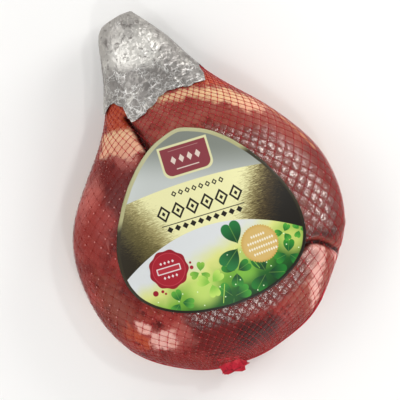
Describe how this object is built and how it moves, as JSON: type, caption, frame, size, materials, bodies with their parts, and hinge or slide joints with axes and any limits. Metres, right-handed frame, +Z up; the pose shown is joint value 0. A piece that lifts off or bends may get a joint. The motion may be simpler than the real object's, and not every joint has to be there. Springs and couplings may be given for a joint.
{
  "type": "cured ham",
  "caption": "Whole boneless dry-cured ham in a clear vacuum bag and a red net sleeve, with crumpled foil round the shank and a plain printed label on its face.",
  "frame": {"origin": "on the flat underside that the ham rests on, below its belly", "axes": "+Y along the ham from the butt end to the shank, +X to the right of the labelled face seen from above, +Z up"},
  "size_m": [0.2861, 0.3925, 0.106],
  "materials": {
    "cured_meat": null,
    "clear_film": "clear, tight shrink film, glossy and wrinkled",
    "red_net": "fine knitted polyester yarn, dark crimson",
    "crumpled_foil": "crumpled aluminium foil, silver-grey",
    "printed_film": "printed metallised film in silver, gold and green"
  },
  "bodies": {
    "root": {"ham": "cured_meat", "vacuum_bag": "clear_film", "net_sleeve": "red_net", "foil_cap": "crumpled_foil", "label": "printed_film"}
  },
  "joints": []
}
